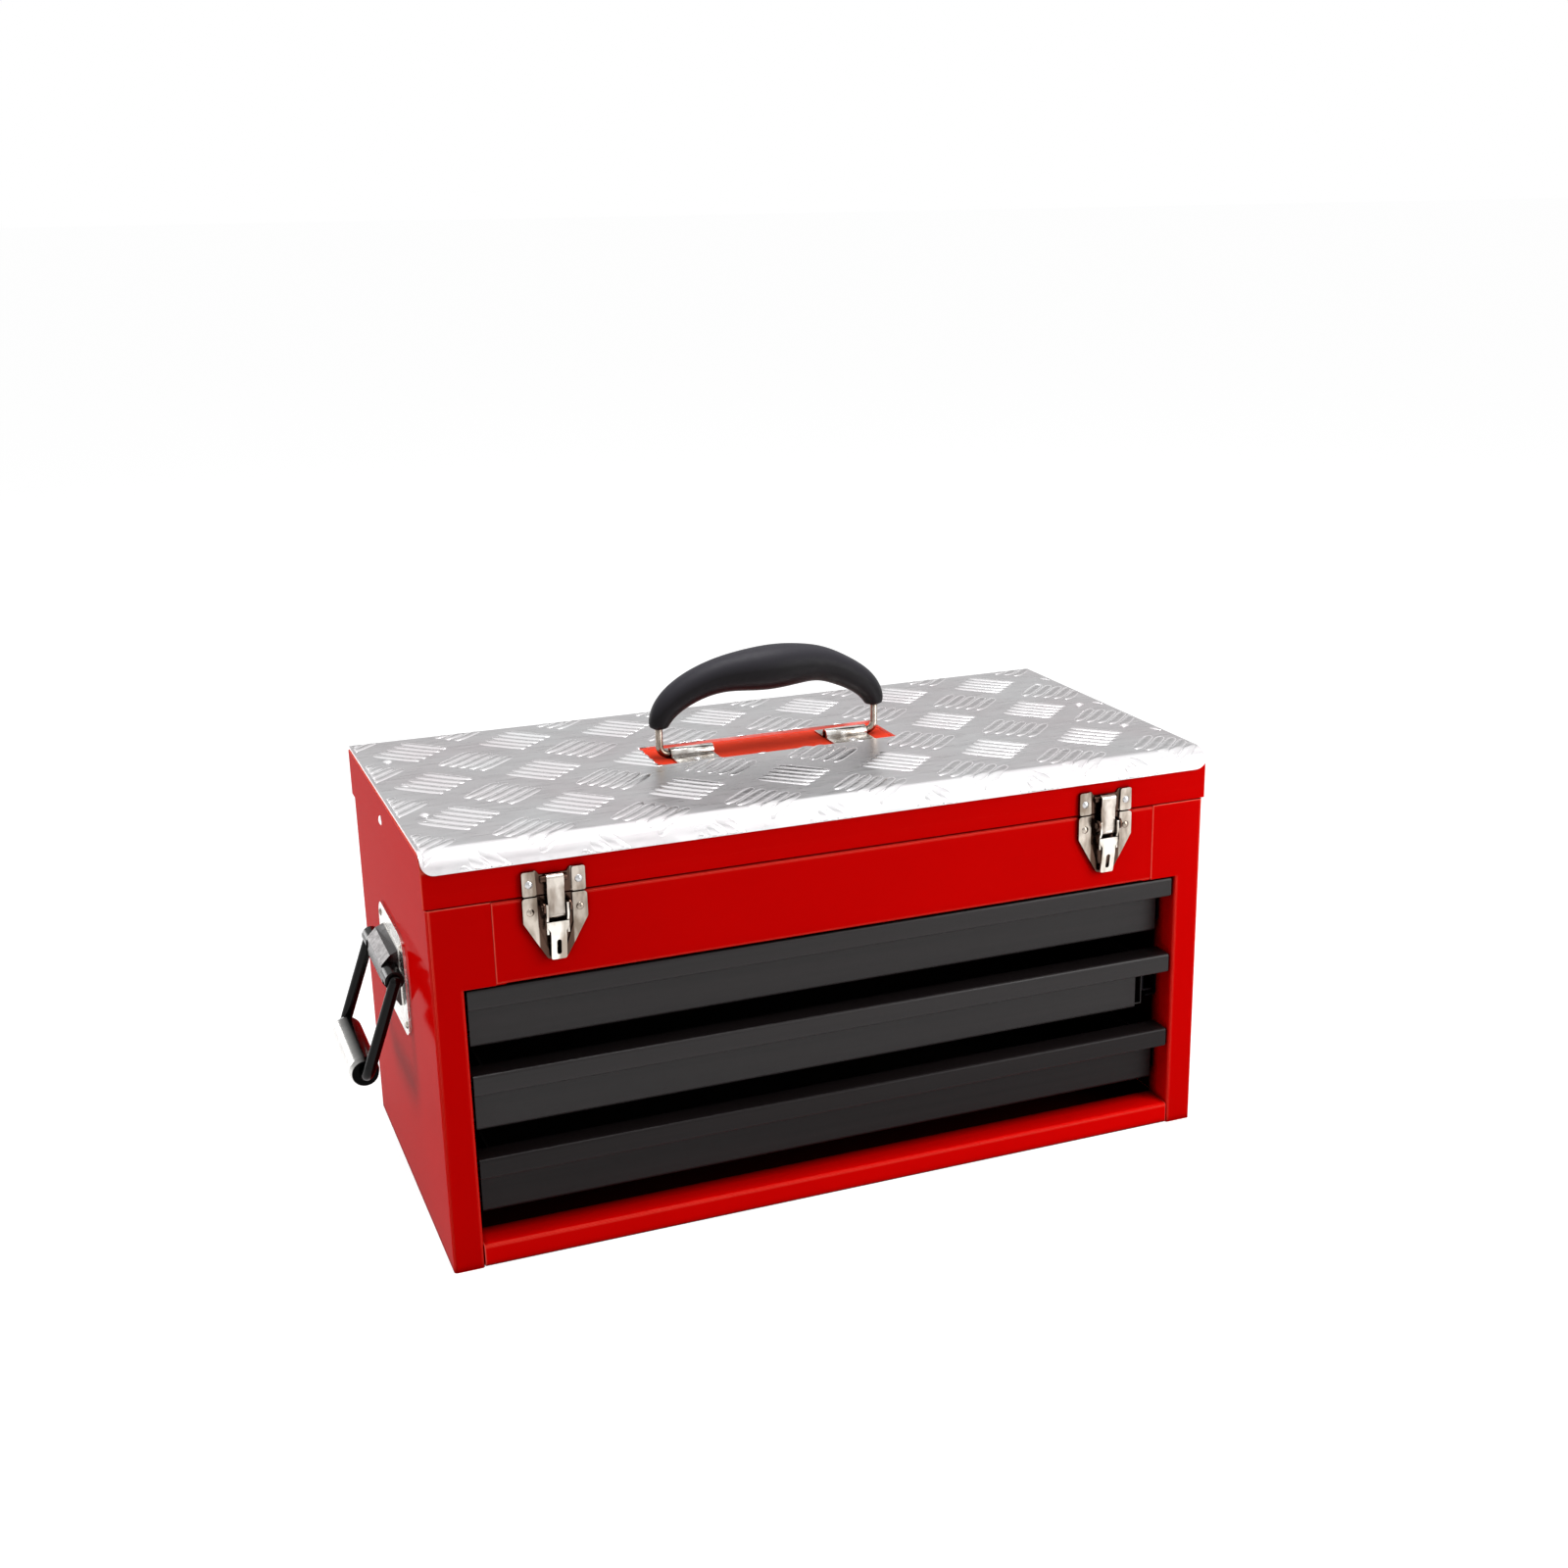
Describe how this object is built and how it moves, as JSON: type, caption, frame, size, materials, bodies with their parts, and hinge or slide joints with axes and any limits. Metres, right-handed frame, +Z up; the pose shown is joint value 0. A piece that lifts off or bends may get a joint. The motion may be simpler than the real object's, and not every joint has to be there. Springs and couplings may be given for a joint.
{
  "type": "portable tool chest",
  "caption": "Portable steel tool chest: hinged tread-plate lid over a top compartment, ball-bearing drawers, draw latches, padded carrying handle and drop side handles.",
  "frame": {"origin": "centre of the footprint on the floor, in the plane the base stands on", "axes": "+X to the right along the width seen from the front, +Y to the back (drawers open towards -Y), +Z up"},
  "size_m": [0.5994, 0.2696, 0.3398],
  "materials": {
    "red_paint": "gloss red enamel",
    "drawer_paint": "semi-gloss anthracite enamel",
    "tread_aluminium": "bright mill finish with raised bars",
    "nickel_plate": "nickel plating",
    "zinc_steel": "zinc plating",
    "slide_steel": "dark zinc plating",
    "cage_steel": "bright steel",
    "black_paint": "gloss black",
    "side_grip_plastic": "gloss black",
    "soft_grip": "satin black"
  },
  "bodies": {
    "case": {"side_panel_left": "red_paint", "side_panel_right": "red_paint", "back_panel": "red_paint", "base_panel": "red_paint", "header_panel": "red_paint", "tray_floor": "red_paint", "slide_bracket_left": "red_paint", "slide_bracket_right": "red_paint", "slides_outer_1": "slide_steel", "slides_outer_2": "slide_steel", "slides_outer_3": "slide_steel", "hinge_leaf_case": "zinc_steel", "hinge_pin": "zinc_steel", "latch_base_left": "nickel_plate", "latch_base_right": "nickel_plate", "latch_pivots_left": "nickel_plate", "latch_pivots_right": "nickel_plate", "handle_plate_left": "nickel_plate", "handle_plate_right": "nickel_plate", "case_rivets": "nickel_plate", "stay_studs_case": "zinc_steel"},
    "lid": {"lid_shell": "red_paint", "tread_plate": "tread_aluminium", "lid_rivets": "nickel_plate", "handle_saddles": "nickel_plate", "hinge_leaf_lid": "zinc_steel", "latch_strike_left": "nickel_plate", "latch_strike_right": "nickel_plate", "stay_studs_lid": "zinc_steel"},
    "drawer_1": {"drawer_box_1": "drawer_paint", "drawer_front_1": "drawer_paint", "slides_inner_1": "slide_steel"},
    "cages_1": {"ball_cages_1": "cage_steel"},
    "drawer_2": {"drawer_box_2": "drawer_paint", "drawer_front_2": "drawer_paint", "slides_inner_2": "slide_steel"},
    "cages_2": {"ball_cages_2": "cage_steel"},
    "drawer_3": {"drawer_box_3": "drawer_paint", "drawer_front_3": "drawer_paint", "slides_inner_3": "slide_steel"},
    "cages_3": {"ball_cages_3": "cage_steel"},
    "lever_left": {"latch_lever_left": "nickel_plate", "latch_lever_pin_left": "nickel_plate"},
    "hook_left": {"latch_hook_left": "nickel_plate"},
    "lever_right": {"latch_lever_right": "nickel_plate", "latch_lever_pin_right": "nickel_plate"},
    "hook_right": {"latch_hook_right": "nickel_plate"},
    "top_handle": {"handle_wire": "nickel_plate", "handle_grip": "soft_grip"},
    "side_handle_left": {"side_bail_left": "black_paint", "side_grip_left": "side_grip_plastic"},
    "lower_stay_left": {"stay_lower_left": "zinc_steel"},
    "upper_stay_left": {"stay_upper_left": "zinc_steel"},
    "side_handle_right": {"side_bail_right": "black_paint", "side_grip_right": "side_grip_plastic"},
    "lower_stay_right": {"stay_lower_right": "zinc_steel"},
    "upper_stay_right": {"stay_upper_right": "zinc_steel"}
  },
  "joints": [
    {"name": "lid_hinge", "type": "hinge", "parent": "case", "child": "lid", "pos_m": [0, 0.1299, 0.2358], "axis": [-1, 0, 0], "range_deg": [0, 95]},
    {"name": "drawer_1_slide", "type": "slide", "parent": "case", "child": "drawer_1", "axis": [0, -1, 0], "range_m": [0, 0.16]},
    {"name": "cages_1_roll", "type": "slide", "parent": "case", "child": "cages_1", "axis": [0, -1, 0], "range_m": [0, 0.08]},
    {"name": "drawer_2_slide", "type": "slide", "parent": "case", "child": "drawer_2", "axis": [0, -1, 0], "range_m": [0, 0.16]},
    {"name": "cages_2_roll", "type": "slide", "parent": "case", "child": "cages_2", "axis": [0, -1, 0], "range_m": [0, 0.08]},
    {"name": "drawer_3_slide", "type": "slide", "parent": "case", "child": "drawer_3", "axis": [0, -1, 0], "range_m": [0, 0.16]},
    {"name": "cages_3_roll", "type": "slide", "parent": "case", "child": "cages_3", "axis": [0, -1, 0], "range_m": [0, 0.08]},
    {"name": "lever_left_pivot", "type": "hinge", "parent": "case", "child": "lever_left", "pos_m": [-0.1845, -0.1335, 0.2295], "axis": [-1, 0, 0], "range_deg": [0, 90]},
    {"name": "hook_left_pivot", "type": "hinge", "parent": "lever_left", "child": "hook_left", "pos_m": [-0.1845, -0.13125, 0.22394], "axis": [-1, 0, 0], "range_deg": [-99, 0]},
    {"name": "lever_right_pivot", "type": "hinge", "parent": "case", "child": "lever_right", "pos_m": [0.1845, -0.1335, 0.2295], "axis": [-1, 0, 0], "range_deg": [0, 90]},
    {"name": "hook_right_pivot", "type": "hinge", "parent": "lever_right", "child": "hook_right", "pos_m": [0.1845, -0.13125, 0.22394], "axis": [-1, 0, 0], "range_deg": [-99, 0]},
    {"name": "top_handle_pivot", "type": "hinge", "parent": "lid", "child": "top_handle", "pos_m": [0.003, 0.011, 0.2708], "axis": [1, 0, 0], "range_deg": [-68, 68]},
    {"name": "side_handle_left_pivot", "type": "hinge", "parent": "case", "child": "side_handle_left", "pos_m": [-0.268, 0.004, 0.161], "axis": [0, 1, 0], "range_deg": [-17, 68]},
    {"name": "side_handle_right_pivot", "type": "hinge", "parent": "case", "child": "side_handle_right", "pos_m": [0.268, 0.004, 0.161], "axis": [0, -1, 0], "range_deg": [-17, 68]},
    {"name": "lower_stay_left_pivot", "type": "hinge", "parent": "case", "child": "lower_stay_left", "pos_m": [-0.2564, 0.1049, 0.1925], "axis": [-1, 0, 0], "range_deg": [0, 95]},
    {"name": "upper_stay_left_pivot", "type": "hinge", "parent": "lid", "child": "upper_stay_left", "pos_m": [-0.2545, 0.00597, 0.25212], "axis": [-1, 0, 0], "range_deg": [-95, 0]},
    {"name": "lower_stay_right_pivot", "type": "hinge", "parent": "case", "child": "lower_stay_right", "pos_m": [0.2564, 0.1049, 0.1925], "axis": [-1, 0, 0], "range_deg": [0, 95]},
    {"name": "upper_stay_right_pivot", "type": "hinge", "parent": "lid", "child": "upper_stay_right", "pos_m": [0.2545, 0.00597, 0.25212], "axis": [-1, 0, 0], "range_deg": [-95, 0]}
  ],
  "couplings": [
    {"joint": "cages_1_roll", "follows": "drawer_1_slide", "ratio": 0.5},
    {"joint": "cages_2_roll", "follows": "drawer_2_slide", "ratio": 0.5},
    {"joint": "cages_3_roll", "follows": "drawer_3_slide", "ratio": 0.5},
    {"joint": "hook_left_pivot", "follows": "lever_left_pivot", "ratio": -1.1},
    {"joint": "hook_right_pivot", "follows": "lever_right_pivot", "ratio": -1.1},
    {"joint": "lower_stay_left_pivot", "follows": "lid_hinge", "ratio": 1},
    {"joint": "upper_stay_left_pivot", "follows": "lid_hinge", "ratio": -1},
    {"joint": "lower_stay_right_pivot", "follows": "lid_hinge", "ratio": 1},
    {"joint": "upper_stay_right_pivot", "follows": "lid_hinge", "ratio": -1}
  ]
}
